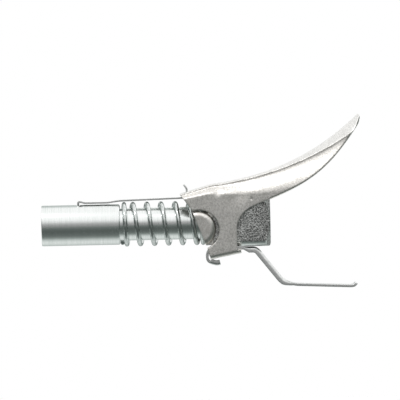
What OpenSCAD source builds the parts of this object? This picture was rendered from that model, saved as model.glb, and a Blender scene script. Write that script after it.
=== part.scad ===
// Quick-release grease coupler: sprung sleeve, four jaws, thumb lever and lower grip.
// Millimetres. Origin at the centre of the inlet mouth, +X out of the inlet, +Z up.

/* [Body] */
// Side of the square rear block
block_w = 18; // [16:0.5:22]
// Length of the square rear block
block_l = 21.2; // [20:0.2:28]
// Chamfer along the block's long edges
block_edge = 1.8; // [0.6:0.1:2.6]
// Depth of the turned chamfer on the block's rear end, at the flats
block_end_cut = 0.7; // [0.3:0.1:1.2]
// Diameter of the turned tube
tube_d = 12; // [11:0.5:13]
// Length of tube inside the closed sleeve
tube_bearing_l = 13.9; // [12:0.1:15]
// Diameter of the threaded inlet hole
inlet_d = 8.6; // [8:0.1:9.4]
// Depth of the threaded inlet hole
inlet_depth = 11; // [9:0.5:12]
// Diameter of the grease passage
passage_d = 6; // [5.6:0.1:6.6]

/* [Nose] */
// Diameter of the head that carries the jaws
head_d = 8.6; // [8.4:0.1:8.8]
// Length of the jaw head
head_l = 2; // [1.6:0.1:2.2]
// Diameter of the neck behind the jaw head
neck_d = 6.8; // [6.6:0.1:7]
// Length of the neck behind the jaw head
neck_l = 2.8; // [2.6:0.1:3.2]
// Diameter that the closed jaws grip
grip_d = 5.8; // [5.4:0.1:6.2]
// Length of the jaws' gripping lips
lip_l = 2; // [1.4:0.1:2.4]
// Inner diameter of the closed jaws behind their lips
jaw_cavity_d = 7.2; // [7:0.1:7.4]
// Width of the saw cut between two jaws
jaw_slit = 0.3; // [0.2:0.05:0.6]
// Diameter of the rubber nose seal
seal_d = 6.6; // [6:0.1:6.8]
// Length of the rubber nose seal
seal_l = 3.2; // [2.6:0.1:3.6]
// Thickness of the washer behind the seal
seal_washer_t = 0.8; // [0.5:0.1:1]
// Diameter of the piston's stem
stem_d = 3.84; // [3.4:0.02:4]
// Free stroke of the seal piston
piston_stroke = 1.9; // [1.7:0.1:2.2]

/* [Check valve] */
// Diameter of the check ball
ball_d = 4.4; // [4:0.1:4.8]
// Diameter of the hole through the valve seat
seat_hole_d = 2.8; // [2:0.1:3]
// Thickness of the valve seat's flange
seat_flange_t = 2; // [1.4:0.1:2.4]
// Length of the valve seat's nose
seat_nose_l = 2; // [1.5:0.1:3]
// Wire diameter of the inner spring
inner_wire_d = 0.6; // [0.4:0.05:0.7]

/* [Sleeve and main spring] */
// Length of the sleeve
sleeve_l = 28.9; // [27:0.1:32]
// Wall of the sleeve
sleeve_wall = 1.4; // [1.2:0.1:1.6]
// Axial length of the cone in the sleeve's mouth
mouth_cone_l = 2.8; // [2.4:0.1:3.2]
// Radial depth of the cone in the sleeve's mouth
mouth_cone_h = 1; // [0.8:0.05:1.1]
// Edge break on the sleeve's outer rims
sleeve_edge = 0.35; // [0.2:0.05:0.6]
// Wire diameter of the main spring
wire_d = 1.65; // [1.2:0.05:1.8]
// Set length of the main spring
spring_l = 31.8; // [28:0.2:36]
// Turns of the main spring, closed ends included
spring_turns = 7.1; // [6.1:0.5:9.1]
// Thickness of the spring's rear washer
washer_t = 0.8; // [0.5:0.1:1.2]

/* [Pivot collar] */
// Thickness of the collar's plate
plate_t = 1.8; // [1.2:0.1:2.4]
// Radius of the collar's half-round ears
ear_r = 6.7; // [6:0.1:7]
// Rounding of the ears' outer rim
ear_rim = 1.1; // [0.5:0.1:1.5]
// Height of the ears' faces above the lever's cheeks
ear_proud = 0.4; // [0.2:0.05:0.8]
// Distance of the pivot ahead of the spring's rear washer
pivot_ahead = 2.95; // [2.4:0.05:3.4]
// Distance of the pivot below the tube's axis
pivot_below = 2.3; // [1.6:0.1:3]

/* [Lever] */
// Sheet thickness of the lever
sheet_t = 1; // [0.8:0.05:1.2]
// Gap between the block's side and the lever's cheek
cheek_gap = 1; // [0.8:0.1:2]
// Reach of the lever's tail behind the pivot
tail_reach = 59.5; // [52:0.25:66]
// Rise of the tail's ridge above the front of the web
tail_rise = 27.9; // [26:0.1:32]
// Height of the web's front above the main spring
web_lift = 2.65; // [2.4:0.05:3.6]
// Width of the in-turned flanges
flange_w = 4.6; // [3.4:0.1:5.4]
// Outer radius of the bend between cheek and flange
flange_bend_r = 1.4; // [1.2:0.1:1.8]
// Reach of the rolled shoulder at the front of the web
shoulder_front = 1.5; // [1.3:0.1:2]
// Reach of the rolled shoulder where the tail starts
shoulder_kink = 2.5; // [2:0.1:3]
// Radius of the tail's end, seen from above
tip_round_r = 12; // [11.5:0.5:16]
// Sideways reach of the rolled shoulder at the tail's tip
shoulder_tip = 3.4; // [2:0.1:4]
// Play of the lever's half-round notches round the ears
notch_play = 0.7; // [0.4:0.05:0.8]

/* [Strap] */
// Thickness of the strap
strap_t = 0.7; // [0.5:0.05:0.8]
// Width of the strap
strap_w = 4; // [3:0.5:6]
// Height of the strap above the sleeve
strap_lift = 0.3; // [0.25:0.05:0.6]
// Distance of the strap's hook behind the sleeve's mouth
hook_behind = 13.6; // [12:0.1:14.5]
// Height of the strap's tab above the web
tab_h = 2.6; // [2:0.1:3.2]

/* [Lower grip] */
// Thickness of the lower grip's strip
grip_t = 1; // [0.8:0.05:1.2]
// Width of the lower grip's strip
grip_w = 14; // [13:0.5:16]
// Drop of the grip's tail below the block
grip_drop = 14.3; // [11:0.1:18]
// Reach of the grip's tail behind the inlet
grip_reach = 31; // [26:0.5:38]
// Depth of the grip's turned-down edges
grip_edge_h = 0.9; // [0.6:0.1:1.2]

/* [Clearances] */
// Radial clearance of sliding pieces
slide_clear = 0.1; // [0.06:0.01:0.1]
// Clearance between the jaws and what they ride on
jaw_clear = 0.2; // [0.2:0.01:0.25]
// Gap between pieces that touch lightly
touch_gap = 0.15; // [0.1:0.01:0.2]

/* [Hidden] */
$fn = 64;
eps = 0.02;
far = 200;

// Stations along the axis, from the inlet towards the nose
plate_rear_x = -block_l;
plate_front_x = plate_rear_x - plate_t;
washer_front_x = plate_front_x - washer_t;
sleeve_rear_x = washer_front_x - spring_l;
sleeve_front_x = sleeve_rear_x - sleeve_l;
tube_end_x = sleeve_rear_x - tube_bearing_l;
neck_end_x = tube_end_x - neck_l;
head_end_x = neck_end_x - head_l;

// Radii shared by the pieces round the tube
tube_r = tube_d / 2;
bore_r = tube_r + slide_clear;
sleeve_r = bore_r + sleeve_wall;
spring_inside_gap = 0.6;
coil_r = tube_r + spring_inside_gap + wire_d / 2;
spring_r = coil_r + wire_d / 2;
passage_r = passage_d / 2;
half_block = block_w / 2;

// Check valve and piston along the passage
seat_step_x = -inlet_depth - seat_flange_t;
seat_flange_r = passage_r + 0.6;
seat_tip_x = seat_step_x - seat_nose_l;
ball_r = ball_d / 2;
ball_x = seat_tip_x - sqrt(pow(ball_r, 2) - pow(seat_hole_d / 2, 2)) - eps;
stem_guide_l = 9.5;
passage_end_x = tube_end_x + stem_guide_l;
piston_flange_t = 2;
piston_stop_x = passage_end_x + jaw_clear;
piston_rear_x = piston_stop_x + piston_flange_t;
stem_r = stem_d / 2;
stem_bore_r = stem_r + slide_clear;
stem_end_x = head_end_x - piston_stroke;
seal_back_x = stem_end_x - seal_washer_t;
seal_front_x = seal_back_x - seal_l;
spigot_r = stem_r - 0.6;
spigot_l = 1.8;
grease_r = 0.8;
inner_coil_r = passage_r - 0.5 - inner_wire_d / 2;
inner_wire_lift = inner_coil_r > ball_r ? 0 : sqrt(pow(ball_r, 2) - pow(inner_coil_r, 2));
inner_start_x = ball_x - max(inner_wire_lift, 1) - inner_wire_d / 2 - touch_gap;
inner_end_x = piston_rear_x + inner_wire_d / 2 + eps;
inner_turns = 14;

// Jaws
jaw_rear_x = tube_end_x - 2 * jaw_clear;
jaw_front_x = sleeve_front_x + slide_clear;
jaw_groove_front_x = head_end_x - jaw_clear;
jaw_groove_rear_x = neck_end_x + jaw_clear;
cone_slope = mouth_cone_h / mouth_cone_l;
mouth_inner_x = sleeve_front_x + mouth_cone_l;
jaw_tip_r = bore_r - slide_clear + cone_slope * (mouth_inner_x - jaw_front_x);
jaw_waist_r = tube_r - 1;
jaw_waist_x = mouth_inner_x + 1;
jaw_heel_l = 3.4;

// Pivot, shared by the collar's ears and the lever's notches
pivot_x = washer_front_x - pivot_ahead;
pivot_z = -pivot_below;
front_tilt = 21.3;
ear_back = 0.45;
notch_r = ear_r + notch_play;
notch_shift = 0.7 * (notch_play - touch_gap);
half_gap = half_block + cheek_gap;
half_lever = half_gap + sheet_t;
ear_in = half_block + touch_gap;
ear_out = half_lever + ear_proud;

// Lever, from the pivot along X and from the front of its web along Z
web_z = spring_r + web_lift;
web_front = -6.45;
kink = [4.75, 3.3];
shoulder_drop = 0.5;
tip_shoulder_drop = 5;
ridge = [kink.y, 5.5, 11, tail_rise];
shoulder = [kink.y - shoulder_drop, 5, 10.4, tail_rise - tip_shoulder_drop];
roll_tip_drop = 11;
tip_top = [tail_reach + 0.5, tail_rise + 0.4];
edge_start = [tail_reach + 1.5, tail_rise - 1.8];
edge_pull_l = 10;
edge_pull = [tail_reach - edge_pull_l, 8];
edge_join = [26.75, -2.8];
edge_lead = [41.45, 3];
crook_lead = [18.75, -5.1];
cheek_back = 14.35;
crook_top = -7.9;
crook_end = -13.9;
front_top = [-5.95, -1];
front_knee = [-2.35, -6];
front_foot = [3.25, -0.1];
flange_front = [4.45, -4.6];
flange_back = [15.9, -2.4];
flange_in = half_lever - flange_w;
foot_x = flange_front.x - 0.4;
seam = 0.1;
loft_floor = -half_block - 8;
loft_steps = 16;
curve_steps = 14;

// Slot in the web, the strap's tab through it, and the hump over its hook
slot_ahead = 3.85;
slot_x = pivot_x - slot_ahead;
slot_play = 0.5;
slot_w = strap_w + 4 * touch_gap;
tab_lean = 1.1;
tab_straight = 0.9;
hump_h = 0.5;
hump_back = [1, 0.45];
hump_l = 2.2;
strap_step_l = 4.4;
strap_bend_r = 0.6;

// Lower grip and its hook round the flanges
grip_top_z = -half_block - 0.2;
grip_mid_z = grip_top_z - grip_t / 2;
hook_x = pivot_x + flange_front.x;
hook_z = -half_block + flange_front.y;
hook_tip = [3.6, -1.5];
hook_low = [2.2, -1.9];
hook_nose = [-0.9, -0.9];
hook_front = [-1.4, 1.2];
hook_rise_x = -0.6;
grip_bend_x = -5.2;
grip_heel = [4.4, 1.6];
grip_flat_x = 8.4;
grip_sag = 1;
grip_flick = [1, 1.2];
grip_bend_r = 1.6;
grip_edge_w = 1.3;
grip_edge_x = pivot_x + flange_back.x + 0.7;

// Cubic curve through its end values, for numbers and for points
function bez(p, t) = pow(1 - t, 3) * p[0] + 3 * pow(1 - t, 2) * t * p[1]
    + 3 * (1 - t) * t * t * p[2] + pow(t, 3) * p[3];

function curve(p, n) = [for (i = [0 : n]) bez(p, i / n)];

function unit(v) = v / norm(v);

// Polyline with each inner corner replaced by a short parabola of the given reach
function rounded(p, reach, n = 6) = let (last = len(p) - 1) [
    for (i = [0 : last])
        if (i == 0 || i == last) p[i]
        else let (
            a = p[i - 1] - p[i],
            b = p[i + 1] - p[i],
            s = p[i] + unit(a) * min(reach, norm(a) * 0.48),
            e = p[i] + unit(b) * min(reach, norm(b) * 0.48)
        ) each [for (k = [0 : n]) let (t = k / n) pow(1 - t, 2) * s + 2 * t * (1 - t) * p[i] + t * t * e]
];

// Closed outline of a strip of thickness t along a polyline
function side_step(p, i) = let (
        a = unit(p[max(i, 1)] - p[max(i, 1) - 1]),
        b = unit(p[min(i, len(p) - 2) + 1] - p[min(i, len(p) - 2)]),
        d = unit(a + b)
    ) [-d.y, d.x];
function ribbon(p, up, down) = concat(
    [for (i = [0 : len(p) - 1]) p[i] + side_step(p, i) * up],
    [for (i = [len(p) - 1 : -1 : 0]) p[i] - side_step(p, i) * down[i]]
);
function strip(p, t) = ribbon(p, t / 2, [for (q = p) t / 2]);

// Points given from the pivot and the web's front, or from the pivot and the block's underside
function upper(p) = [pivot_x + p.x, web_z + p.y];
function lower(p) = [pivot_x + p.x, -half_block + p.y];

// Height at which the cheek's foot passes into the flange's bend
function flange_line(x) = between(flange_front.y, flange_back.y,
    (x - flange_front.x) / (flange_back.x - flange_front.x)) + flange_bend_r - 0.15;

// Lever's cross-section at distance x behind the pivot
function tail_share(x) = (x - kink.x) / (tail_reach - kink.x);
function ridge_z(x) = x < kink.x ? kink.y * (x - web_front) / (kink.x - web_front) : bez(ridge, tail_share(x));
function shoulder_z(x) = x < kink.x ? ridge_z(x) - shoulder_drop : bez(shoulder, tail_share(x));
function ridge_slope(x) = (ridge_z(x + 0.1) - ridge_z(x - 0.1)) / 0.2;
function between(a, b, t) = a + (b - a) * t;
function web_share(x) = (x - web_front) / (kink.x - web_front);
function roll_reach(x) = x < kink.x ? between(shoulder_front, shoulder_kink, web_share(x))
    : between(shoulder_kink, shoulder_tip, tail_share(x));
function crown_power(x) = x < kink.x ? 2 : 2 - min(tail_share(x), 1);
function roll_drop(x) = x < kink.x ? roll_reach(x) : between(shoulder_kink, roll_tip_drop, tail_share(x));
function flare(t) = t * t * (3 - 2 * t);
function half_section(x, inset) = let (
        w = half_lever - inset,
        sink = inset * sqrt(1 + pow(ridge_slope(x), 2)),
        crease = w - roll_reach(x),
        crease_z = web_z + shoulder_z(x) - sink,
        low_z = crease_z - roll_drop(x) + inset
    ) concat(
        [[w, loft_floor]],
        [for (k = [0 : 8]) let (t = 1 - k / 8) [between(crease, w, flare(t)), between(crease_z, low_z, t)]],
        [for (k = [7 : -1 : 0]) let (t = k / 8)
            [crease * t, crease_z + (ridge_z(x) - shoulder_z(x)) * pow(1 - t * t, crown_power(x))]]
    );
function whole_section(x, inset) = let (h = half_section(x, inset), n = len(h)) concat(
    h, [for (i = [n - 2 : -1 : 0]) [-h[i].x, h[i].y]]
);
function shell_section(x) = let (o = whole_section(x, 0), i = whole_section(x, sheet_t)) concat(
    o, [for (k = [len(i) - 1 : -1 : 0]) i[k]]
);

// Loft of equal rings, closed by flat ends
module loft(rings) {
    n = len(rings[0]);
    last = len(rings) - 1;
    polyhedron(
        points = [for (r = rings) each r],
        faces = concat(
            [[for (k = [0 : n - 1]) k]],
            [[for (k = [n - 1 : -1 : 0]) last * n + k]],
            [for (i = [0 : last - 1], k = [0 : n - 1]) [i * n + k, (i + 1) * n + k, i * n + (k + 1) % n]],
            [for (i = [0 : last - 1], k = [0 : n - 1])
                [(i + 1) * n + k, (i + 1) * n + (k + 1) % n, i * n + (k + 1) % n]]
        )
    );
}

// Compression spring along X with one closed turn at each end, top of the wire at the given turn
module coil(x0, x1, r, wire, turns, top_turn, per_turn, sides) {
    closed = wire * 1.06;
    pitch = (abs(x1 - x0) - 2 * closed) / (turns - 2);
    way = sign(x1 - x0);
    steps = round(turns * per_turn);
    loft([for (i = [0 : steps])
        let (
            u = turns * i / steps,
            run = closed * min(u, 1) + pitch * min(max(u - 1, 0), turns - 2) + closed * max(u - turns + 1, 0),
            a = 360 * (u - top_turn) * way
        )
        [for (k = [0 : sides - 1])
            let (b = -360 * k / sides * way, q = r + wire / 2 * cos(b))
            [x0 + way * run + wire / 2 * sin(b), -q * sin(a), q * cos(a)]]
    ]);
}

// Cylinder along +X from x0 to x1
module rod(x0, x1, r0, r1 = undef) {
    translate([min(x0, x1), 0, 0])
        rotate([0, 90, 0])
            cylinder(h = abs(x1 - x0), r1 = x0 < x1 ? r0 : (is_undef(r1) ? r0 : r1),
                r2 = x0 < x1 ? (is_undef(r1) ? r0 : r1) : r0);
}

// Revolved profile round X, its points given as [x, radius]
module turned(points, angle = 360, from = 0) {
    rotate([0, 90, 0])
        rotate([0, 0, from])
            rotate_extrude(angle = angle)
                polygon([for (p = points) [p[1], p[0]]]);
}

// Side outline in X and Z, extruded across Y
module across(width) {
    rotate([90, 0, 0])
        linear_extrude(height = width, center = true)
            children();
}

// Places a shape at the pivot on the near side, its own Z pointing outwards along -Y
module at_pivot() {
    translate([pivot_x, 0, pivot_z])
        rotate([90, 0, 0])
            children();
}

// The same shape on both sides
module both_sides() {
    children();
    mirror([0, 1, 0])
        children();
}

module block_bar() {
    c = half_block - block_edge;
    h = half_block;
    end_angle = 60;
    end_r = half_block - block_end_cut;
    end_cone_l = (half_block * sqrt(2) - end_r) / tan(end_angle);
    intersection() {
        translate([-block_l, 0, 0])
            rotate([90, 0, 90])
                linear_extrude(height = block_l)
                    polygon([[c, h], [-c, h], [-h, c], [-h, -c], [-c, -h], [c, -h], [h, -c], [h, c]]);
        union() {
            rod(-block_l - eps, eps - end_cone_l, block_w);
            rod(-end_cone_l, 0, end_r + end_cone_l * tan(end_angle), end_r);
        }
    }
}

module body() {
    color([0.66, 0.68, 0.68])
        difference() {
            union() {
                block_bar();
                rod(tube_end_x, -block_l + 1, tube_r);
                rod(neck_end_x - 1, tube_end_x + 1, neck_d / 2);
                rod(head_end_x, neck_end_x, head_d / 2);
            }
            rod(-inlet_depth, 1, inlet_d / 2);
            rod(seat_step_x, -inlet_depth + 1, seat_flange_r);
            rod(passage_end_x, seat_step_x + 1, passage_r);
            rod(head_end_x - 1, passage_end_x + 1, stem_bore_r);
        }
}

module valve_seat() {
    color([0.78, 0.64, 0.36])
        difference() {
            union() {
                rod(seat_step_x, -inlet_depth, seat_flange_r - slide_clear);
                rod(seat_tip_x, seat_step_x + 0.5, passage_r - slide_clear);
            }
            rod(seat_tip_x - 1, -inlet_depth + 1, seat_hole_d / 2);
        }
}

module check_ball() {
    color([0.8, 0.81, 0.82])
        translate([ball_x, 0, 0])
            sphere(r = ball_r);
}

module inner_spring() {
    color([0.6, 0.62, 0.64])
        coil(inner_start_x, inner_end_x, inner_coil_r, inner_wire_d, inner_turns, 0, 12, 6);
}

module seal_piston() {
    color([0.72, 0.73, 0.74])
        difference() {
            union() {
                rod(piston_stop_x, piston_rear_x, passage_r - slide_clear);
                rod(stem_end_x, piston_stop_x + 1, stem_r);
                rod(stem_end_x - seal_washer_t - spigot_l, stem_end_x + 1, spigot_r);
            }
            rod(stem_end_x - seal_washer_t - spigot_l - 1, piston_rear_x + 1, grease_r);
        }
}

module seal_washer() {
    color([0.75, 0.76, 0.77])
        difference() {
            rod(seal_back_x, stem_end_x, seal_d / 2);
            rod(seal_back_x - 1, stem_end_x + 1, spigot_r + eps);
        }
}

module nose_seal() {
    r = seal_d / 2;
    hole = spigot_r + eps;
    spigot_x = seal_back_x - spigot_l - eps;
    color([0.12, 0.12, 0.12])
        turned([[seal_back_x, hole], [seal_back_x, r], [seal_front_x + 0.6, r], [seal_front_x, r - 0.7],
            [seal_front_x, hole + 0.6], [seal_front_x + 0.9, grease_r], [spigot_x, grease_r], [spigot_x, hole]]);
}

// One of four jaws, its rear lip hooked behind the body's head
module jaw(i) {
    lip_x = jaw_front_x + lip_l;
    heel_x = jaw_rear_x - jaw_heel_l;
    heel_r = tube_r - slide_clear;
    slit_angle = 2 * asin(jaw_slit / grip_d);
    color([0.6, 0.61, 0.62])
        turned([[jaw_rear_x, neck_d / 2 + 1.5 * jaw_clear], [jaw_rear_x, heel_r], [heel_x, heel_r],
            [heel_x - 1, jaw_waist_r], [jaw_waist_x, jaw_waist_r], [mouth_inner_x, bore_r - slide_clear],
            [jaw_front_x, jaw_tip_r], [jaw_front_x, grip_d / 2 + 0.5], [jaw_front_x + 0.5, grip_d / 2],
            [lip_x, grip_d / 2], [lip_x + 0.5, jaw_cavity_d / 2], [jaw_groove_front_x, jaw_cavity_d / 2],
            [jaw_groove_front_x, head_d / 2 + jaw_clear], [jaw_groove_rear_x, head_d / 2 + jaw_clear],
            [jaw_groove_rear_x, neck_d / 2 + 1.5 * jaw_clear]],
            angle = 90 - slit_angle, from = 90 * i + slit_angle / 2);
}

module sleeve() {
    slot_l = strap_t + 4 * touch_gap;
    color([0.78, 0.8, 0.8])
        difference() {
            turned([[sleeve_rear_x, bore_r + sleeve_edge], [sleeve_rear_x, sleeve_r - sleeve_edge],
                [sleeve_rear_x - sleeve_edge, sleeve_r], [sleeve_front_x + sleeve_edge, sleeve_r],
                [sleeve_front_x, sleeve_r - sleeve_edge / 2], [sleeve_front_x, bore_r + mouth_cone_h],
                [mouth_inner_x, bore_r], [sleeve_rear_x - sleeve_edge, bore_r]]);
            translate([sleeve_front_x + hook_behind, 0, sleeve_r])
                cube([slot_l, strap_w + 4 * touch_gap, sleeve_r], center = true);
        }
}

module main_spring() {
    color([0.7, 0.72, 0.72])
        coil(sleeve_rear_x + wire_d / 2 + eps, washer_front_x - wire_d / 2 - eps, coil_r, wire_d,
            spring_turns, 0.44, 24, 8);
}

module spring_washer() {
    color([0.74, 0.75, 0.75])
        difference() {
            rod(washer_front_x, plate_front_x, spring_r + 0.2);
            rod(washer_front_x - 1, plate_front_x + 1, bore_r);
        }
}

// Half-round ear with a rounded outer rim and its flat towards the nose
module ear() {
    h = ear_out - ear_in;
    intersection() {
        translate([0, 0, ear_in])
            rotate_extrude()
                union() {
                    square([ear_r, h - ear_rim]);
                    square([ear_r - ear_rim, h]);
                    translate([ear_r - ear_rim, h - ear_rim])
                        intersection() {
                            circle(r = ear_rim);
                            square(2 * ear_rim);
                        }
                }
        rotate([0, 0, front_tilt])
            translate([ear_back, -far / 2, 0])
                cube([far, far, far]);
    }
}

// Plate behind the spring with half-round ears that reach forward into the lever's notches
module pivot_collar() {
    plate_half = half_gap - touch_gap;
    plate_drop = half_block - 0.7;
    plate_rise = tube_r + 0.4;
    color([0.68, 0.69, 0.69])
        difference() {
            union() {
                translate([plate_front_x, -plate_half, -plate_drop])
                    cube([plate_t, 2 * plate_half, plate_drop + plate_rise]);
                both_sides()
                    at_pivot()
                        ear();
            }
            rod(plate_front_x - 1, plate_rear_x + 1, bore_r);
        }
}

// Side outline of the lever's stamped sheet
module lever_outline() {
    difference() {
        lever_edge();
        translate([pivot_x + notch_shift, pivot_z - notch_shift])
            circle(r = notch_r);
    }
}

module lever_edge() {
    polygon(concat(
        [upper([web_front, 2]), upper([kink.x, kink.y + 4]), upper([tip_top.x - 6, tip_top.y + 6]), upper(tip_top)],
        curve([upper(edge_start), upper(edge_pull), upper(edge_lead), upper(edge_join)], curve_steps),
        curve([upper(edge_join), upper(crook_lead), upper([cheek_back, crook_top]),
            upper([cheek_back, crook_end])], curve_steps),
        [lower([cheek_back, flange_line(cheek_back)]), lower([foot_x, flange_line(foot_x)])],
        [lower(front_foot), [pivot_x, pivot_z], upper(front_knee), upper(front_top), upper([web_front, -0.5])]
    ));
}

// Rounded end of the tail, seen from above
module tail_plan() {
    translate([pivot_x + edge_start.x - tip_round_r, 0, loft_floor - 1])
        linear_extrude(height = far)
            union() {
                circle(r = tip_round_r, $fn = 128);
                translate([-far, -tip_round_r])
                    square([far, 2 * tip_round_r]);
            }
}

// Quarter bend from the flange up to the cheek, or back down for the inner side
function bend(y, r, way) = [for (k = [0 : 6]) let (a = way > 0 ? -90 + 15 * k : -15 * k)
    [y + r * cos(a), flange_bend_r + r * sin(a)]];

// In-turned flange, bent round from the foot of the cheek
module flange() {
    along = flange_back - flange_front;
    bend_y = half_lever - seam - flange_bend_r;
    translate([pivot_x + flange_front.x, 0, -half_block + flange_front.y])
        rotate([0, -atan2(along.y, along.x), 0])
            rotate([90, 0, 90])
                linear_extrude(height = norm(along))
                    polygon(concat(
                        [[flange_in, sheet_t], [flange_in, 0]],
                        bend(bend_y, flange_bend_r, 1),
                        bend(bend_y, flange_bend_r - sheet_t, -1)
                    ));
}

module lever() {
    stations = concat(
        [web_front - 2, (web_front + kink.x) / 2],
        [for (i = [0 : loft_steps]) kink.x + (tail_reach + 3 - kink.x) * i / loft_steps]
    );
    web_top = web_z + ridge_z(-slot_ahead);
    color([0.76, 0.76, 0.74]) {
        difference() {
            intersection() {
                loft([for (x = stations) [for (p = shell_section(x)) [pivot_x + x, p.x, p.y]]]);
                across(far)
                    lever_outline();
                tail_plan();
            }
            translate([slot_x, 0, web_top])
                cube([strap_t + 2 * slot_play, slot_w, 6], center = true);
        }
        both_sides()
            flange();
    }
}

module strap() {
    low_z = sleeve_r + strap_lift + strap_t / 2;
    hook_at = sleeve_front_x + hook_behind;
    over_spring_z = spring_r + touch_gap + strap_t / 2;
    web_under_z = web_z - sheet_t * sqrt(1 + pow(ridge_slope(web_front), 2));
    root_z = web_under_z - touch_gap - strap_t / 2;
    web_top_z = web_z + ridge_z(-slot_ahead);
    tip_z = bore_r + touch_gap + strap_t / 2;
    path = rounded([[hook_at, tip_z], [hook_at, low_z + hump_h], [hook_at + hump_back.x, low_z + hump_back.y],
        [hook_at + hump_l, low_z], [sleeve_rear_x - strap_step_l, low_z],
        [sleeve_rear_x - touch_gap, over_spring_z], [slot_x, root_z],
        [slot_x, web_top_z + tab_straight], [slot_x - tab_lean, web_top_z + tab_h]], strap_bend_r, 4);
    color([0.8, 0.81, 0.81])
        across(strap_w)
            polygon(strip(path, strap_t));
}

module lower_grip() {
    tail_z = grip_top_z - grip_drop;
    hook = [hook_x, hook_z];
    tip = [grip_reach - 0.6, tail_z - grip_sag];
    path = rounded([hook + hook_tip, hook + hook_low, hook + hook_nose, hook + hook_front,
        [hook_x + hook_rise_x, grip_mid_z], [grip_bend_x, grip_mid_z], [grip_heel.x, tail_z + grip_heel.y],
        [grip_flat_x, tail_z], tip, tip + grip_flick], grip_bend_r);
    edge = rounded([[grip_edge_x, grip_mid_z], [grip_bend_x, grip_mid_z], [grip_heel.x, tail_z + grip_heel.y],
        [grip_flat_x, tail_z]], grip_bend_r);
    last = len(edge) - 1;
    depth = [for (i = [0 : last]) grip_t / 2 + grip_edge_h * min(1, (last - i) / 7) - (i == last ? seam : 0)];
    color([0.8, 0.81, 0.81]) {
        across(grip_w)
            polygon(strip(path, grip_t));
        both_sides()
            translate([0, grip_w / 2 - seam - grip_edge_w / 2, 0])
                across(grip_edge_w)
                    polygon(ribbon(edge, grip_t / 2 - seam, depth));
    }
}

body();
valve_seat();
check_ball();
inner_spring();
seal_piston();
seal_washer();
nose_seal();
jaw(0);  // jaw_1
jaw(1);  // jaw_2
jaw(2);  // jaw_3
jaw(3);  // jaw_4
sleeve();
main_spring();
spring_washer();
pivot_collar();
lever();
strap();
lower_grip();
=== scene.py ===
import math

import bmesh
import bpy
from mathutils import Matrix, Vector
from mathutils.kdtree import KDTree


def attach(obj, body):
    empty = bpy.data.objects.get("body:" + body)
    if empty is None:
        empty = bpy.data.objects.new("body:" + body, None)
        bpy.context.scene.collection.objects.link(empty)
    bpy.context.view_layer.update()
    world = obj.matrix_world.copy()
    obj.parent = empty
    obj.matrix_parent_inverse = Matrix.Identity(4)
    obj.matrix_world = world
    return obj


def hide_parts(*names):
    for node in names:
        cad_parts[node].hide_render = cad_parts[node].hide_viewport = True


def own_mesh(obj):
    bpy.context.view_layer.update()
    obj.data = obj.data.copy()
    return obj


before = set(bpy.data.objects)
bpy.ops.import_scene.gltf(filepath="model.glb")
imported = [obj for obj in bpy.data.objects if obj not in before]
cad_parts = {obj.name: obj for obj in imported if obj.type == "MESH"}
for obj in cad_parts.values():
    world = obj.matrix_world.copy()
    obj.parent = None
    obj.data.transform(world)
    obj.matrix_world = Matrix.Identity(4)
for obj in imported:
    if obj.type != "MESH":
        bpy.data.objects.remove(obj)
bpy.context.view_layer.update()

MM = 0.001

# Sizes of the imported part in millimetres; X is 0 at the inlet's face and falls towards the nose
BLOCK_L = 21.2
HALF_BLOCK = 9.0
BLOCK_EDGE = 1.8
EDGE_CROWN = math.radians(20)
EDGE_TURN = math.pi / 4 - math.atan2(HALF_BLOCK - BLOCK_EDGE, HALF_BLOCK)
END_CUT = 0.7
END_SLOPE = math.tan(math.radians(60))
PLATE_FRONT = -23.0
WASHER_FRONT = -23.8
SLEEVE_REAR = -55.6
SLEEVE_FRONT = -84.5
TUBE_END = -69.5
NECK_END = -72.3
HEAD_END = -74.3
HEAD_R = 4.3
NECK_R = 3.4
NOSE_BORE_R = 2.02
TUBE_R = 6.0
BORE_R = 6.1
SLEEVE_R = 7.5
COIL_R = 7.425
WIRE_R = 0.825
MAIN_TURNS = 7.1
CLOSED_PITCH = 1.06
SPRING_R = 8.25
INLET_R = 4.3
INLET_DEPTH = 11.0
THREAD_START = -0.75
THREAD_L = INLET_DEPTH - 1.6 - 0.75
THREAD_PITCH = 1.0
THREAD_DEPTH = 0.42
THREAD_STEPS = 132
THREAD_FADE = 10
SEAT_BORE_R = 3.6
SEAT_END = -13.0
PISTON_BORE_R = 3.0
PISTON_BORE_END = -60.0
PISTON_REAR = -57.8
BALL_X = -16.72
INNER_COIL_R = 2.2
INNER_WIRE_R = 0.3
INNER_TURNS = 14

# Pivot and lever
PIVOT_X = -26.75
PIVOT_Z = -2.3
FRONT_TILT = math.radians(21.3)
EAR_BACK = 0.45
EAR_R = 6.7
EAR_RIM = 2.1
EAR_IN = 9.15
EAR_OUT = 11.4
COLLAR_BORE_R = 6.1
COLLAR_GAP = 0.15
NOTCH_R = 7.4
NOTCH_SHIFT = 0.385
HALF_GAP = 10.0
HALF_LEVER = 11.0
SHEET = 1.0
WEB_Z = 10.9
WEB_FRONT = -6.45
KINK = (4.75, 3.3)
TAIL_REACH = 59.5
TAIL_RISE = 27.9
SHOULDER_DROP = 0.5
RIDGE = (KINK[1], 5.5, 11.0, TAIL_RISE)
SHOULDER = (KINK[1] - SHOULDER_DROP, 5.0, 10.4, TAIL_RISE - 5.0)
ROLL = (1.5, 2.5, 3.4)
ROLL_DROP = 11.0
TIP_ROUND = 12.0
CREASE_STEP = 0.7
# Lower edge of the tail: how far it is pushed in, and how wide
EDGE_IN = 0.45
EDGE_BAND = 0.8
FLANK_EASE = 0.8
FLANK_FADE = 0.3
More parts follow.
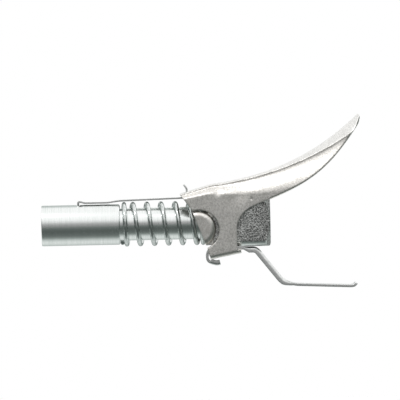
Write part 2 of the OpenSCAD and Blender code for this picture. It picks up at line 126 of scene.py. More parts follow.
# Dents in the near cheek: x, z, radius, depth
DENTS = [(-19.2, 10.9, 1.1, 0.32), (-17.7, 11.2, 0.7, 0.18), (-10.4, 10.2, 2.3, 0.30), (-6.9, 8.4, 0.4, 0.16),
         (-14.5, 8.6, 3.2, 0.10)]
FLANGE_FRONT = (4.45, -4.6)
FLANGE_BACK = (15.9, -2.4)
FLANGE_W = 4.6
BEND_R = 1.4

# Strap and grip
HOOK_X = SLEEVE_FRONT + 13.6
SLOT_X = PIVOT_X - 3.85
SLOT_HALF = 2.3
STRAP_T = 0.7
STRAP_W = 4.0
GRIP_T = 1.0
GRIP_W = 14.0
GRIP_GAP = 0.2
GRIP_DROP = 14.3
LIP_DEPTH = 1.2
LIP_RUN = 2.0
HOOK_LIP = 0.8

# Studio
FLOOR_Z = -95
FLOOR_HALF = 800
AIM = (-0.02, 0, 0.01)


# Mesh helpers

def make(name, verts, faces):
    """New mesh object from points in millimetres."""
    mesh = bpy.data.meshes.new(name)
    mesh.from_pydata([(x * MM, y * MM, z * MM) for x, y, z in verts], [], faces)
    mesh.update()
    obj = bpy.data.objects.new(name, mesh)
    bpy.context.scene.collection.objects.link(obj)
    tidy_normals(obj)
    return obj


def tidy_normals(obj):
    """Merges doubled points and turns all faces outwards."""
    bm = bmesh.new()
    bm.from_mesh(obj.data)
    bmesh.ops.remove_doubles(bm, verts=bm.verts, dist=1e-7)
    bmesh.ops.recalc_face_normals(bm, faces=bm.faces)
    bm.to_mesh(obj.data)
    bm.free()


def smooth(obj, angle):
    """Smooth shading apart from edges sharper than the angle."""
    mesh = obj.data
    mesh.polygons.foreach_set("use_smooth", [True] * len(mesh.polygons))
    mesh.set_sharp_from_angle(angle=math.radians(angle))
    return obj


def apply_all(obj):
    """Applies every modifier to the mesh."""
    graph = bpy.context.evaluated_depsgraph_get()
    mesh = bpy.data.meshes.new_from_object(obj.evaluated_get(graph), depsgraph=graph)
    old = obj.data
    obj.modifiers.clear()
    obj.data = mesh
    bpy.data.meshes.remove(old)


def cut(obj, tool, how):
    """Boolean with a tool that is then thrown away."""
    m = obj.modifiers.new(how.lower(), "BOOLEAN")
    m.operation = how
    m.solver = "EXACT"
    m.object = tool
    apply_all(obj)
    old = tool.data
    bpy.data.objects.remove(tool)
    bpy.data.meshes.remove(old)


def soften(obj, voxel, rounds):
    """Evenly rounded edges: fine voxel skin, then a few rounds of smoothing."""
    m = obj.modifiers.new("skin", "REMESH")
    m.mode = "VOXEL"
    m.voxel_size = voxel * MM
    m.use_smooth_shade = True
    s = obj.modifiers.new("round", "SMOOTH")
    s.factor = 0.5
    s.iterations = rounds
    apply_all(obj)


def rings_mesh(name, rings, loop=False):
    """Skin over equal rings of points; the first and last ring are capped, or joined in a loop."""
    n = len(rings[0])
    verts = [p for r in rings for p in r]
    faces = []
    count = len(rings)
    for i in range(count if loop else count - 1):
        j = (i + 1) % count
        for k in range(n):
            q = (k + 1) % n
            faces.append((i * n + k, i * n + q, j * n + q, j * n + k))
    if not loop:
        faces.append(tuple(range(n)))
        faces.append(tuple((count - 1) * n + k for k in reversed(range(n))))
    return make(name, verts, faces)


def lathe(name, profile, steps):
    """Closed profile of (x, radius) turned round the X axis."""
    rings = []
    for i in range(steps):
        a = 2 * math.pi * i / steps
        rings.append([(x, r * math.cos(a), r * math.sin(a)) for x, r in profile])
    return rings_mesh(name, rings, loop=True)


def round_corners(points, radius, n, closed=True):
    """Polyline with its corners replaced by short curves; radius may be one value or one per corner."""
    out = []
    count = len(points)
    for i, p in enumerate(points):
        if not closed and i in (0, count - 1):
            out.append(tuple(p))
            continue
        r = radius[i] if isinstance(radius, (list, tuple)) else radius
        if r <= 0:
            out.append(tuple(p))
            continue
        p = Vector(p)
        a = Vector(points[i - 1]) - p
        b = Vector(points[(i + 1) % count]) - p
        s = p + a.normalized() * min(r, a.length * 0.48)
        e = p + b.normalized() * min(r, b.length * 0.48)
        for k in range(n + 1):
            t = k / n
            out.append(tuple((1 - t) ** 2 * s + 2 * t * (1 - t) * p + t * t * e))
    return out


def helix(name, x0, x1, r, wire, turns, top_turn, per_turn, sides, part=slice(None)):
    """Compression spring with one closed turn at each end, or a part of its length."""
    closed = wire * 2 * CLOSED_PITCH
    pitch = (abs(x1 - x0) - 2 * closed) / (turns - 2)
    way = 1 if x1 > x0 else -1
    steps = round(turns * per_turn)
    rings = []
    for i in range(-2, steps + 3):
        u = turns * min(max(i, 0), steps) / steps
        # The wire's two ends are rounded
        shrink = {-2: 0.72, -1: 0.93}.get(i, {2: 0.72, 1: 0.93}.get(i - steps, 1.0))
        push = {-2: -0.28, -1: -0.16}.get(i, {2: 0.28, 1: 0.16}.get(i - steps, 0.0)) * wire
        run = closed * min(u, 1) + pitch * min(max(u - 1, 0), turns - 2) + closed * max(u - turns + 1, 0)
        a = 2 * math.pi * (u - top_turn) * way + way * push / r
        ring = []
        for k in range(sides):
            b = -2 * math.pi * k / sides * way
            q = r + wire * shrink * math.cos(b)
            ring.append((x0 + way * run + wire * shrink * math.sin(b), -q * math.sin(a), q * math.cos(a)))
        rings.append(ring)
    return rings_mesh(name, rings[part])


def slot_tool(x, half, z0, z1):
    """Box that cuts the strap's slot at x."""
    corners = ((-1, -1), (1, -1), (1, 1), (-1, 1))
    return rings_mesh("slot", [[(x + sx * half, sy * SLOT_HALF, z) for sx, sy in corners] for z in (z0, z1)])


def prism(name, outline, y0, y1):
    """Outline in X and Z extruded from y0 to y1."""
    rings = [[(x, y, z) for x, z in outline] for y in (y0, y1)]
    return rings_mesh(name, rings)


def band(name, path, thick, width, lips=None, end=0.2):
    """Bent strip with round edges along a path in X and Z; lips gives each point's turned-down edge."""
    lip_w = 1.3
    n = len(path)
    lips = lips or [0.0] * n
    rings = []

    def ring(i, grow, slide):
        a = Vector(path[max(i, 1)]) - Vector(path[max(i, 1) - 1])
        b = Vector(path[min(i, n - 2) + 1]) - Vector(path[min(i, n - 2)])
        t = (a.normalized() + b.normalized()).normalized()
        side = Vector((-t.y, t.x))
        w = width / 2 - grow
        h = thick / 2 - grow
        low = -h - max(lips[i], 0.01)
        r = thick * 0.2
        top = r + lips[i] * 1.05
        outer = [(-w, low), (-w + lip_w, low), (-w + lip_w, -h), (w - lip_w, -h), (w - lip_w, low), (w, low),
                 (w, h), (-w, h)]
        box = round_corners(outer, [r, 0.25, 0.2, 0.2, 0.25, r, top, top], 6)
        base = Vector(path[i]) + t * slide
        return [(base.x + side.x * v, u, base.y + side.y * v) for u, v in box]

    rings.append(ring(0, end, 0))
    rings.append(ring(0, end * 0.3, end * 0.3))
    rings.append(ring(0, 0, end))
    for i in range(1, n - 1):
        rings.append(ring(i, 0, 0))
    rings.append(ring(n - 1, 0, -end))
    rings.append(ring(n - 1, end * 0.3, -end * 0.3))
    rings.append(ring(n - 1, end, 0))
    return rings_mesh(name, rings)


def bez(p, t):
    u = 1 - t
    return u ** 3 * p[0] + 3 * u * u * t * p[1] + 3 * u * t * t * p[2] + t ** 3 * p[3]


def curve(points, n):
    xs = [p[0] for p in points]
    zs = [p[1] for p in points]
    return [(bez(xs, i / n), bez(zs, i / n)) for i in range(n + 1)]


def upper(p):
    return (PIVOT_X + p[0], WEB_Z + p[1])


def lower(p):
    return (PIVOT_X + p[0], -HALF_BLOCK + p[1])


# Lever: crowned channel of sheet, its cross-section swept from the web's front to the tip

def tail_share(x):
    return (x - KINK[0]) / (TAIL_REACH - KINK[0])


def ridge_z(x):
    if x < KINK[0]:
        return KINK[1] * (x - WEB_FRONT) / (KINK[0] - WEB_FRONT)
    return bez(RIDGE, tail_share(x))


def shoulder_z(x):
    return ridge_z(x) - SHOULDER_DROP if x < KINK[0] else bez(SHOULDER, tail_share(x))


def between(a, b, t):
    return a + (b - a) * t


def half_section(x, inset):
    """Half of the channel's outline: cheek, rolled shoulder, crown up to the middle."""
    slope = (ridge_z(x + 0.1) - ridge_z(x - 0.1)) / 0.2
    sink = inset * math.sqrt(1 + slope * slope)
    if x < KINK[0]:
        reach = between(ROLL[0], ROLL[1], (x - WEB_FRONT) / (KINK[0] - WEB_FRONT))
        drop, power = reach, 2.0
    else:
        u = tail_share(x)
        reach = between(ROLL[1], ROLL[2], u)
        drop = between(ROLL[1], ROLL_DROP, u)
        power = 2.0 - min(u, 1.0)
    w = HALF_LEVER - inset
    crease = w - reach
    crease_z = WEB_Z + shoulder_z(x) - sink
    low_z = crease_z - drop + inset
    pts = [(w, -HALF_BLOCK - 8)]
    step = 0.0 if inset else CREASE_STEP * min(1.0, 0.75 + max(0.0, tail_share(x)))
    for k in range(25):
        t = 1 - k / 24
        f = t ** FLANK_EASE
        flank_z = between(crease_z - step, low_z - FLANK_FADE * drop, t)
        pts.append((between(crease, w, f * f * (3 - 2 * f)), flank_z))
    pts.append((crease + 0.04 if step else crease - 0.02, crease_z))
    for k in range(15, -1, -1):
        t = k / 16
        pts.append((crease * t, crease_z + (ridge_z(x) - shoulder_z(x)) * (1 - t * t) ** power))
    return pts


def shell_section(x):
    outer = half_section(x, 0)
    inner = half_section(x, SHEET)
    whole = outer + [(-y, z) for y, z in outer[-2::-1]]
    inside = inner + [(-y, z) for y, z in inner[-2::-1]]
    return whole + inside[::-1]


def flange_line(x):
    """Height at which the cheek's foot passes into the flange's bend."""
    share = (x - FLANGE_FRONT[0]) / (FLANGE_BACK[0] - FLANGE_FRONT[0])
    return between(FLANGE_FRONT[1], FLANGE_BACK[1], share) + BEND_R - 0.15


def flange_solid(side):
    """In-turned flange, bent round from the foot of the cheek."""
    bend_y = HALF_LEVER - 0.05 - BEND_R
    section = [(HALF_LEVER - FLANGE_W, SHEET), (HALF_LEVER - FLANGE_W, 0.0)]
    for k in range(13):
        a = math.radians(-90 + 7.5 * k)
        section.append((bend_y + BEND_R * math.cos(a), BEND_R + BEND_R * math.sin(a)))
    for k in range(13):
        a = math.radians(-7.5 * k)
        section.append((bend_y + (BEND_R - SHEET) * math.cos(a), BEND_R + (BEND_R - SHEET) * math.sin(a)))
    front = Vector(lower(FLANGE_FRONT))
    rear = Vector(lower(FLANGE_BACK))
    along = (rear - front).normalized()
    up = Vector((-along.y, along.x))
    rings = []
    for base in (front, rear):
        rings.append([(base.x + up.x * h, side * y, base.y + up.y * h) for y, h in section])
    return rings_mesh("flange", rings)


def lever_piece():
    stations = [WEB_FRONT - 2, -4, 0, 3, 4.2]
    stations += [KINK[0] + (TAIL_REACH + 3 - KINK[0]) * i / 60 for i in range(1, 61)]
    rings = [[(PIVOT_X + x, y, z) for y, z in shell_section(x)] for x in stations]
    obj = rings_mesh("lever_stamping", rings)

    edge_join = upper((26.75, -2.8))
    tip_x = TAIL_REACH + 1.5
    foot = FLANGE_FRONT[0] - 0.4
    outline = [upper((WEB_FRONT, 2)), upper((KINK[0], KINK[1] + 4)),
               upper((TAIL_REACH - 5.5, TAIL_RISE + 6.4)), upper((TAIL_REACH + 0.5, TAIL_RISE + 0.4))]
    tail_edge = curve([upper((tip_x, TAIL_RISE - 1.8)), upper((TAIL_REACH - 10, 8)), upper((41.45, 3)),
                       edge_join], 240)
    outline += tail_edge
    outline += curve([edge_join, upper((18.75, -5.1)), upper((14.35, -7.9)), upper((14.35, -13.9))], 40)[1:]
    outline += [lower((14.35, flange_line(14.35))), lower((foot, flange_line(foot))), lower((3.25, -0.1))]
    outline += [(PIVOT_X + 3, PIVOT_Z), (PIVOT_X, PIVOT_Z)]
    outline += round_corners([upper((-2.35, -6)), upper((-5.95, -1)), upper((WEB_FRONT, -0.5))],
                             0.5, 4, False)
    cut(obj, prism("outline", outline, -40, 40), "INTERSECT")

    plan = [(-20, TIP_ROUND), (-20, -TIP_ROUND)]
    for k in range(97):
        a = math.pi * (k / 96 - 0.5)
        plan.append((tip_x - TIP_ROUND + TIP_ROUND * math.cos(a), TIP_ROUND * math.sin(a)))
    rings = [[(PIVOT_X + x, y, z) for x, y in plan] for z in (-40, 80)]
    cut(obj, rings_mesh("plan", rings), "INTERSECT")

    steps = 128
    centre = (PIVOT_X + NOTCH_SHIFT, PIVOT_Z - NOTCH_SHIFT)
    round_cut = [(centre[0] + NOTCH_R * math.cos(2 * math.pi * i / steps),
                  centre[1] + NOTCH_R * math.sin(2 * math.pi * i / steps)) for i in range(steps)]
    cut(obj, prism("notch", round_cut, -40, 40), "DIFFERENCE")

    cut(obj, slot_tool(SLOT_X, 0.85, WEB_Z - 3, WEB_Z + 4), "DIFFERENCE")

    for side in (-1, 1):
        cut(obj, flange_solid(side), "UNION")
    soften(obj, 0.17, 3)
    tree = KDTree(len(tail_edge))
    for i, (x, z) in enumerate(tail_edge):
        tree.insert((x, 0, z), i)
    tree.balance()
    for vert in obj.data.vertices:
        x, y, z = vert.co / MM
        if x > 0 and abs(y) > 3:
            near = tree.find((x, 0, z))[2]
            vert.co.y -= math.copysign(EDGE_IN * max(0, 1 - near / EDGE_BAND) ** 2, y) * MM
        if y < -HALF_GAP + 0.3 and z > 0:
            push = sum(deep * math.exp(-((x - dx) ** 2 + (z - dz) ** 2) / r ** 2)
                       for dx, dz, r, deep in DENTS)
            vert.co.y += push * MM
    return smooth(obj, 60)


lever = lever_piece()
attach(lever, "lever")
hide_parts("lever")

# Sleeve
sleeve_profile = round_corners(
    [(SLEEVE_REAR, BORE_R + 0.35), (SLEEVE_REAR, SLEEVE_R), (SLEEVE_FRONT, SLEEVE_R),
     (SLEEVE_FRONT, BORE_R + 1.0), (SLEEVE_FRONT + 2.8, BORE_R), (SLEEVE_REAR - 0.35, BORE_R)],
    [0.12, 0.55, 0.5, 0.12, 0.3, 0.12], 6)
sleeve = lathe("sleeve_tube", sleeve_profile, 200)
cut(sleeve, slot_tool(HOOK_X, 0.65, 3.75, 11), "DIFFERENCE")
smooth(sleeve, 30)
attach(sleeve, "sleeve")
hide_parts("sleeve")

# Main spring
spring = smooth(helix("main_coil", SLEEVE_REAR + WIRE_R + 0.02, WASHER_FRONT - WIRE_R - 0.02, COIL_R, WIRE_R,
                      MAIN_TURNS, 0.44, 64, 20), 50)
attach(spring, "coupler")
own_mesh(spring)
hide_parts("main_spring")

# Inner spring, in two halves: one at the piston's end, one at the ball's end
inner_front = PISTON_REAR + 0.06
inner_rear = BALL_X - 1.19
inner_steps = round(INNER_TURNS * 40)
inner_springs = []
for name, joint, travel, part in (("inner_coil_front", "piston_slide", 1.5, slice(0, inner_steps // 2 + 3)),
                                  ("inner_coil_rear", "ball_lift", 1.0, slice(inner_steps // 2 + 2, None))):
    half = helix(name, inner_front + INNER_WIRE_R, inner_rear - INNER_WIRE_R, INNER_COIL_R, INNER_WIRE_R,
                 INNER_TURNS, 0, 40, 12, part)
    smooth(half, 50)
    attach(half, "coupler")
    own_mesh(half)
    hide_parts("inner_spring")
    inner_springs.append(half)

# Strap: hooked in the sleeve's slot, humped over its edge, tab through the lever's web
web_under = WEB_Z - SHEET * math.sqrt(1 + (KINK[1] / (KINK[0] - WEB_FRONT)) ** 2)
strap_low = SLEEVE_R + 0.3 + STRAP_T / 2
strap_root = web_under - 0.15 - STRAP_T / 2
web_top = WEB_Z + ridge_z(SLOT_X - PIVOT_X)
strap_path = round_corners(
    [(HOOK_X, BORE_R + 0.5), (HOOK_X, strap_low + 0.5), (HOOK_X + 1, strap_low + 0.45),
     (HOOK_X + 2.2, strap_low), (SLEEVE_REAR - 4.4, strap_low), (SLEEVE_REAR - 0.15, SPRING_R + 0.5),
     (SLOT_X, strap_root), (SLOT_X, web_top + 0.9), (SLOT_X - 1.1, web_top + 2.6)], 0.6, 8, False)
strap = smooth(band("strap_strip", strap_path, STRAP_T, STRAP_W, end=0.15), 50)
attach(strap, "strap")
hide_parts("strap")

# Lower grip: hooked round the lever's flanges, under the block and down to a flat tail
grip_mid = -HALF_BLOCK - GRIP_GAP - GRIP_T / 2
grip_tail = -HALF_BLOCK - GRIP_GAP - GRIP_DROP
gx, gz = lower(FLANGE_FRONT)
lip_start = PIVOT_X + FLANGE_BACK[0] + 0.7
grip_path = round_corners(
    [(gx + 3.6, gz - 1.5), (gx + 2.2, gz - 1.9), (gx - 0.9, gz - 0.9), (gx - 1.4, gz + 1.2),
     (gx - 0.6, grip_mid), (lip_start, grip_mid), (lip_start + LIP_RUN, grip_mid), (-5.2, grip_mid),
     (4.4, grip_tail + 1.6), (8.4, grip_tail), (30.4, grip_tail - 1), (31.4, grip_tail + 0.2)],
    [0, 1.6, 1.6, 1.6, 1.6, 0, 0, 1.6, 1.6, 1.6, 1.6, 0], 10, False)
grip_lips = [LIP_DEPTH * min(max((x - lip_start) / LIP_RUN, 0), max((8.2 - x) / 3.4, 0), 1)
             for x, z in grip_path]
for i, (x, z) in enumerate(grip_path):
    if z < gz - 0.3 and x < gx + 4:
        grip_lips[i] = HOOK_LIP * min(max((x - gx + 0.6) / 0.8, 0), 1)
grip = smooth(band("grip_strip", grip_path, GRIP_T, GRIP_W, grip_lips), 50)
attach(grip, "lower_grip")
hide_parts("lower_grip")


# Body: tube, chamfered block with a turned rear end, threaded inlet

def block_radius(a):
    """Distance from the axis to the square's side at the angle, with slightly crowned chamfers."""
    c = abs(math.cos(a))
    s = abs(math.sin(a))
    flat = HALF_BLOCK / max(c, s)
    crown = BLOCK_EDGE / math.sqrt(2) / math.sin(EDGE_CROWN)
    middle = (2 * HALF_BLOCK - BLOCK_EDGE) / math.sqrt(2) - crown * math.cos(EDGE_CROWN)
    off = math.atan2(s, c) - math.pi / 4
    if abs(off) > EDGE_TURN:
        return flat
    return middle * math.cos(off) + math.sqrt(crown ** 2 - (middle * math.sin(off)) ** 2)


def body_piece():
    steps = 288
    rings = []
    for i in range(steps):
        a = 2 * math.pi * i / steps
        rp = block_radius(a)
        ring = [(HEAD_END, NOSE_BORE_R), (HEAD_END, 4.15), (HEAD_END + 0.15, HEAD_R),
                (NECK_END - 0.1, HEAD_R), (NECK_END, 4.2), (NECK_END, NECK_R), (TUBE_END, NECK_R),
                (TUBE_END, 5.7), (TUBE_END + 0.3, TUBE_R), (-BLOCK_L, TUBE_R)]
        ring += [(-BLOCK_L, 6.4), (-BLOCK_L, 8.2), (-BLOCK_L, rp - 0.12), (-BLOCK_L + 0.04, rp - 0.04),
                 (-BLOCK_L + 0.12, rp)]
        for k in range(11):
            ring.append((-BLOCK_L + 1 + (BLOCK_L - 3.2) * k / 10, rp))
        for k in range(1, 25):
            x = -2.3 + 2.2 * k / 24
            rc = HALF_BLOCK - END_CUT - END_SLOPE * x
            ring.append((x, min(rp, rc)))
        ring += [(-0.03, HALF_BLOCK - END_CUT), (0.0, HALF_BLOCK - END_CUT - 0.1)]
        ring += [(0.0, 7.0), (0.0, 5.05), (-0.05, 4.95)]
        for k in range(THREAD_STEPS + 1):
            x = THREAD_START - THREAD_L * k / THREAD_STEPS
            phase = (x / THREAD_PITCH + a / (2 * math.pi)) % 1.0
            tooth = abs(2 * phase - 1)
            fade = min(1.0, k / THREAD_FADE, (THREAD_STEPS - k) / THREAD_FADE)
            ring.append((x, INLET_R - THREAD_DEPTH * fade * max(0.0, min(1.0, 1.35 * tooth - 0.15))))
        ring += [(-INLET_DEPTH, INLET_R), (-INLET_DEPTH, SEAT_BORE_R), (SEAT_END, SEAT_BORE_R),
                 (SEAT_END, PISTON_BORE_R), (PISTON_BORE_END, PISTON_BORE_R), (PISTON_BORE_END, NOSE_BORE_R)]
        rings.append([(x, r * math.cos(a), r * math.sin(a)) for x, r in ring])
    return rings_mesh("body_turning", rings, loop=True)


body = smooth(body_piece(), 28)
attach(body, "coupler")
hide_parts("body")


# Pivot collar: plate behind the spring with half-round ears

def collar_piece():
    half = HALF_GAP - COLLAR_GAP
    drop = HALF_BLOCK - 0.7
    rise = TUBE_R + 0.4
    rings = [[(x, sy * half, z) for sy, z in ((-1, -drop), (1, -drop), (1, rise), (-1, rise))]
             for x in (PLATE_FRONT, -BLOCK_L)]
    obj = rings_mesh("collar_ears", rings)
    height = EAR_OUT - EAR_IN
    profile = [(0.0, EAR_R)]
    for k in range(9):
        t = math.pi / 2 * k / 8
        profile.append((height - EAR_RIM + EAR_RIM * math.sin(t), EAR_R - EAR_RIM + EAR_RIM * math.cos(t)))
    for side in (-1, 1):
        rings = []
        for h, r in profile:
            ring = []
            reach = math.acos(EAR_BACK / r)
            for k in range(61):
                a = -reach + 2 * reach * k / 60
                u, v = r * math.cos(a), r * math.sin(a)
                c, s = math.cos(FRONT_TILT), math.sin(FRONT_TILT)
                ring.append((PIVOT_X + u * c - v * s, side * (EAR_IN + h), PIVOT_Z + u * s + v * c))
            rings.append(ring)
        cut(obj, rings_mesh("ear", rings), "UNION")
    turns = [2 * math.pi * k / 96 for k in range(96)]
    bore = [[(x, COLLAR_BORE_R * math.cos(a), COLLAR_BORE_R * math.sin(a)) for a in turns]
            for x in (-30, -15)]
    cut(obj, rings_mesh("bore", bore), "DIFFERENCE")
    soften(obj, 0.14, 3)
    return smooth(obj, 60)


collar = collar_piece()
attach(collar, "coupler")
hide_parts("pivot_collar")


# Materials

EVEN = (1, 1, 1)


def material(name):
    mat = bpy.data.materials.new(name)
    mat.use_nodes = True
    nodes = mat.node_tree.nodes
    return mat, nodes, mat.node_tree.links, nodes["Principled BSDF"]


def grain(nodes, links, scale, stretch=EVEN, detail=4.0):
    """Noise in object coordinates, scale in cells per metre."""
    coord = nodes.new("ShaderNodeTexCoord")
    mapping = nodes.new("ShaderNodeMapping")
    mapping.inputs["Scale"].default_value = stretch
    noise = nodes.new("ShaderNodeTexNoise")
    noise.inputs["Scale"].default_value = scale
    noise.inputs["Detail"].default_value = detail
    noise.inputs["Roughness"].default_value = 0.6
    links.new(coord.outputs["Object"], mapping.inputs["Vector"])
    links.new(mapping.outputs["Vector"], noise.inputs["Vector"])
    return noise.outputs["Fac"]


def ramp(nodes, links, fac, stops):
    node = nodes.new("ShaderNodeValToRGB")
    items = node.color_ramp.elements
    while len(items) < len(stops):
        items.new(0.5)
    for item, (place, colour) in zip(items, stops):
        item.position = place
        item.color = (*colour, 1)
    links.new(fac, node.inputs["Fac"])
    return node.outputs["Color"]


def spread(nodes, links, fac, low, high, start=0.3, stop=0.7):
    node = nodes.new("ShaderNodeMapRange")
    node.inputs["From Min"].default_value = start
    node.inputs["From Max"].default_value = stop
    node.inputs["To Min"].default_value = low
    node.inputs["To Max"].default_value = high
    links.new(fac, node.inputs["Value"])
    return node.outputs["Result"]


def bump(nodes, links, height, strength, distance):
    node = nodes.new("ShaderNodeBump")
    node.inputs["Strength"].default_value = strength
    node.inputs["Distance"].default_value = distance
    links.new(height, node.inputs["Height"])
    return node.outputs["Normal"]


def metal(name, dark, light, scale, stretch, rough, bump_strength, bump_depth=0.00002, detail=4.0,
          contrast=(0.3, 0.7), patch=None):
    """Metal whose grain varies its colour, gloss and relief; patch is (scale, darkest share)."""
    mat, nodes, links, shader = material(name)
    shader.inputs["Metallic"].default_value = 1.0
    fine = grain(nodes, links, scale, stretch, detail)
    colour = ramp(nodes, links, fine, [(contrast[0], dark), (contrast[1], light)])
    if patch:
        broad = grain(nodes, links, patch[0], EVEN, 2.0)
        shade = ramp(nodes, links, broad, [(0.35, (patch[1],) * 3), (0.65, (1, 1, 1))])
        blend = nodes.new("ShaderNodeMix")
        blend.data_type = "RGBA"
        blend.blend_type = "MULTIPLY"
        blend.inputs["Factor"].default_value = 1.0
        links.new(colour, blend.inputs[6])
        links.new(shade, blend.inputs[7])
        colour = blend.outputs[2]
    links.new(colour, shader.inputs["Base Color"])
    links.new(spread(nodes, links, fine, rough[1], rough[0]), shader.inputs["Roughness"])
    links.new(bump(nodes, links, fine, bump_strength, bump_depth), shader.inputs["Normal"])
    return mat


turned_zinc = metal("turned_zinc", (0.80, 0.84, 0.82), (0.98, 0.99, 0.985), 900, (5.0, 0.12, 0.12),
                    (0.17, 0.27), 0.10)
grainy_steel = metal("grainy_steel", (0.20, 0.20, 0.195), (1.0, 1.0, 0.98), 2300, EVEN, (0.24, 0.46), 1.0,
                     bump_depth=0.00018, detail=2.0, contrast=(0.41, 0.59), patch=(200, 0.66))
satin_zinc = metal("satin_zinc", (0.70, 0.68, 0.645), (1.0, 0.975, 0.935), 1700, EVEN, (0.34, 0.46), 0.65,
                   bump_depth=0.00006, contrast=(0.38, 0.62), patch=(260, 0.92))
# Painted light: a paler copy of the satin metal for the lever's upward-facing crown
painted_light_crown_zinc = metal("painted_light_crown_zinc", (0.74, 0.735, 0.715), (0.98, 0.97, 0.945), 1700, EVEN, (0.32, 0.44), 0.55,
                   bump_depth=0.00006, contrast=(0.38, 0.62), patch=(260, 0.95))
wire_zinc = metal("wire_zinc", (0.48, 0.52, 0.505), (0.86, 0.88, 0.87), 1500, EVEN, (0.09, 0.18), 0.08)
strip_zinc = metal("strip_zinc", (0.68, 0.70, 0.69), (0.90, 0.90, 0.89), 1500, (0.4, 1, 1), (0.22, 0.34),
                   0.12)
ear_steel = metal("ear_steel", (0.74, 0.715, 0.67), (1.0, 0.98, 0.94), 1900, EVEN, (0.26, 0.40), 0.5,
                  bump_depth=0.00005, contrast=(0.38, 0.62), patch=(300, 0.85))
jaw_steel = metal("jaw_steel", (0.36, 0.36, 0.36), (0.62, 0.62, 0.61), 1400, (3, 1, 1), (0.30, 0.42), 0.15)
seat_brass = metal("seat_brass", (0.62, 0.44, 0.17), (0.86, 0.66, 0.32), 1200, (3, 1, 1), (0.22, 0.36), 0.10)
ball_steel = metal("ball_steel", (0.74, 0.75, 0.76), (0.86, 0.87, 0.88), 700, EVEN, (0.06, 0.12), 0.02)


def rubber():
    mat, nodes, links, shader = material("black_rubber")
    fine = grain(nodes, links, 1800)
    links.new(ramp(nodes, links, fine, [(0.3, (0.012, 0.012, 0.012)), (0.7, (0.030, 0.030, 0.029))]),
              shader.inputs["Base Color"])
    links.new(spread(nodes, links, fine, 0.5, 0.7), shader.inputs["Roughness"])
    links.new(bump(nodes, links, fine, 0.2, 0.00003), shader.inputs["Normal"])
    return mat


def dress(obj, mat):
    obj.data.materials.clear()
    obj.data.materials.append(mat)


dress(lever, satin_zinc)
dress(sleeve, turned_zinc)
dress(spring, wire_zinc)
for half in inner_springs:
    dress(half, wire_zinc)
dress(strap, strip_zinc)
dress(grip, strip_zinc)
dress(body, turned_zinc)
dress(collar, ear_steel)
# Painted light: the lever's upward-facing crown, between its creases, gets a paler copy of the satin metal
# than its flanks
lever.data.materials.append(painted_light_crown_zinc)
for face in lever.data.polygons:
    crease_z = WEB_Z + shoulder_z(face.center.x / MM - PIVOT_X)
    if face.normal.z > 0.2 and face.center.z / MM > crease_z - 0.01:
        face.material_index = 1
# The block is grainy apart from its chamfers, the tube is turned
body.data.materials.append(grainy_steel)
for face in body.data.polygons:
    turn = math.atan2(abs(face.center.z), abs(face.center.y)) - math.pi / 4
    wide = math.hypot(face.center.y, face.center.z) > HALF_BLOCK * 1.2 * MM
    if face.center.x > (-BLOCK_L - 0.05) * MM and not (wide and abs(turn) < EDGE_TURN):
        face.material_index = 1

carried = {
    "valve_seat": seat_brass, "check_ball": ball_steel, "seal_piston": strip_zinc,
    "seal_washer": strip_zinc, "nose_seal": rubber(), "spring_washer": strip_zinc,
    "jaw_1": jaw_steel, "jaw_2": jaw_steel, "jaw_3": jaw_steel, "jaw_4": jaw_steel,
}
for name, mat in carried.items():
    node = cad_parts[name]
    if not node.material_slots:
        node.data.materials.append(mat)
    for item in node.material_slots:
        item.material = mat


# Studio: white surround, pale floor, grey cards, two lamps

def seen_rays(nodes, links):
    """1 for the rays that show the background: camera, glossy and transmission."""
    path = nodes.new("ShaderNodeLightPath")
    total = path.outputs["Is Camera Ray"]
    for name in ("Is Glossy Ray", "Is Transmission Ray"):
        add = nodes.new("ShaderNodeMath")
        add.operation = "MAXIMUM"
        links.new(total, add.inputs[0])
        links.new(path.outputs[name], add.inputs[1])
        total = add.outputs[0]
    return total


def studio_world():
    world = bpy.data.worlds.new("studio")
    bpy.context.scene.world = world
    world.use_nodes = True
    nodes = world.node_tree.nodes
    links = world.node_tree.links
    nodes.clear()
    light = nodes.new("ShaderNodeBackground")
    light.inputs["Color"].default_value = (0.50, 0.51, 0.51, 1)
    white = nodes.new("ShaderNodeBackground")
    white.inputs["Color"].default_value = (1, 1, 1, 1)
    mix = nodes.new("ShaderNodeMixShader")
    out = nodes.new("ShaderNodeOutputWorld")
    links.new(seen_rays(nodes, links), mix.inputs["Fac"])
    links.new(light.outputs[0], mix.inputs[1])
    links.new(white.outputs[0], mix.inputs[2])
    links.new(mix.outputs[0], out.inputs["Surface"])


def pale_floor():
    corners = ((-1, -1), (1, -1), (1, 1), (-1, 1))
    floor = make("floor", [(sx * FLOOR_HALF, sy * FLOOR_HALF, FLOOR_Z) for sx, sy in corners], [(0, 1, 2, 3)])
    mat = bpy.data.materials.new("pale_floor")
    mat.use_nodes = True
    nodes = mat.node_tree.nodes
    links = mat.node_tree.links
    nodes.clear()
    matt = nodes.new("ShaderNodeBsdfDiffuse")
    matt.inputs["Color"].default_value = (0.9, 0.9, 0.9, 1)
    glow = nodes.new("ShaderNodeEmission")
    level = nodes.new("ShaderNodeMath")
    level.operation = "MULTIPLY"
    level.inputs[1].default_value = 0.42
    links.new(seen_rays(nodes, links), level.inputs[0])
    links.new(level.outputs[0], glow.inputs["Strength"])
    add = nodes.new("ShaderNodeAddShader")
    out = nodes.new("ShaderNodeOutputMaterial")
    links.new(matt.outputs[0], add.inputs[0])
    links.new(glow.outputs[0], add.inputs[1])
    # Seen from below, the floor lets the camera through
    side = nodes.new("ShaderNodeNewGeometry")
    clear = nodes.new("ShaderNodeBsdfTransparent")
    mix = nodes.new("ShaderNodeMixShader")
    links.new(side.outputs["Backfacing"], mix.inputs["Fac"])
    links.new(add.outputs[0], mix.inputs[1])
    links.new(clear.outputs[0], mix.inputs[2])
    links.new(mix.outputs[0], out.inputs["Surface"])
    floor.data.materials.append(mat)


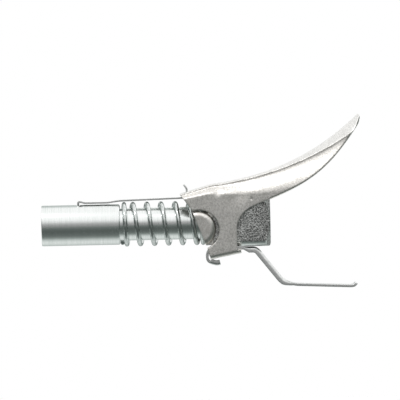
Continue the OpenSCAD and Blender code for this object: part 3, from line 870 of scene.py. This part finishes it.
def card(name, path, reach, sideways=False, middle=0):
    """Studio card that only reflections show: a strip along a path of points, each with its own shade."""
    verts = []
    shades = []
    for a, z, shade in path:
        for b in (middle - reach, middle + reach):
            verts.append((a, b, z) if sideways else (b, a, z))
            shades += [*shade, 1]
    faces = [(2 * i, 2 * i + 1, 2 * i + 3, 2 * i + 2) for i in range(len(path) - 1)]
    obj = make(name, verts, faces)
    obj.data.color_attributes.new("shade", "FLOAT_COLOR", "POINT").data.foreach_set("color", shades)
    mat = bpy.data.materials.new(name)
    mat.use_nodes = True
    nodes = mat.node_tree.nodes
    links = mat.node_tree.links
    nodes.clear()
    shade = nodes.new("ShaderNodeAttribute")
    shade.attribute_name = "shade"
    glow = nodes.new("ShaderNodeEmission")
    out = nodes.new("ShaderNodeOutputMaterial")
    links.new(shade.outputs["Color"], glow.inputs["Color"])
    links.new(glow.outputs[0], out.inputs["Surface"])
    obj.data.materials.append(mat)
    obj.visible_camera = False
    obj.visible_diffuse = False
    obj.visible_shadow = False


def grey(level):
    """Grey that leans to green as it darkens, like the dark side of a workshop."""
    lean = 1 - min(level, 1)
    return (level * (1 - 0.10 * lean), level * (1 + 0.06 * lean), level)


def cards():
    # Sheet on the floor, pale below the coupler and dark in front; both ends rise into walls with pale tops
    sheet_z = FLOOR_Z + 1
    rear = [(2600, 0.30), (900, 0.26), (420, 0.22), (270, 0.32), (170, 0.56), (85, 0.66), (32, 0.78),
            (0, 0.62)]
    front = [(-26, 0.26), (-52, 0.14), (-125, 0.095), (-250, 0.12), (-420, 0.17)]
    far = [(-900, sheet_z, 0.27), (-2600, sheet_z, 0.31)]
    wall = [(130, 0.33), (330, 0.38), (620, 0.50), (900, 0.72), (1350, 0.86), (1700, 1.0)]
    path = [(2900, z, grey(level)) for z, level in ((520, 1.0), (400, 0.66), (270, 0.42), (130, 0.36))]
    path += [(y, sheet_z, grey(level)) for y, level in rear + front]
    path += [(y, z, (level,) * 3) for y, z, level in far + [(-2900, z, level) for z, level in wall]]
    card("sheet_card", path, 3000)
    # Small card above and behind the sleeve, which draws its upper edge against the white
    path = [(62, 128, grey(1.0)), (88, 108, grey(0.62)), (115, 72, grey(0.48)), (128, 45, grey(0.62)),
            (133, 28, grey(1.0))]
    card("rear_card", path, 40, middle=-98)
    # Tall dark cards at the sides
    for x in (-1500, 1500):
        path = [(x, FLOOR_Z + 2, grey(0.10)), (x, 300, grey(0.13)), (x, 700, grey(0.34)), (x, 950, grey(1.0))]
        card("side_card", path, 2400, True, -500)


def lamp(name, place, aim, spread, power):
    data = bpy.data.lights.new(name, "SUN")
    data.energy = power
    data.angle = math.radians(spread)
    obj = bpy.data.objects.new(name, data)
    bpy.context.scene.collection.objects.link(obj)
    obj.location = place
    obj.rotation_euler = (Vector(aim) - Vector(place)).to_track_quat("-Z", "Y").to_euler()


studio_world()
pale_floor()
cards()
lamp("key", (-0.35, -0.55, 1.0), AIM, 14, 0.50)
lamp("fill", (0.5, 0.4, 1.0), AIM, 40, 0.10)

# Camera: level with the coupler, square to its side, rolled a little
view = bpy.data.cameras.new("camera")
view.sensor_width = 36
view.lens = 486.4
camera = bpy.data.objects.new("camera", view)
bpy.context.scene.collection.objects.link(camera)
camera.location = (-0.0258, -2.0, 0.0084)
camera.rotation_euler = (math.radians(90), math.radians(1.2), 0)
bpy.context.scene.camera = camera
bpy.context.scene.view_settings.view_transform = "Standard"
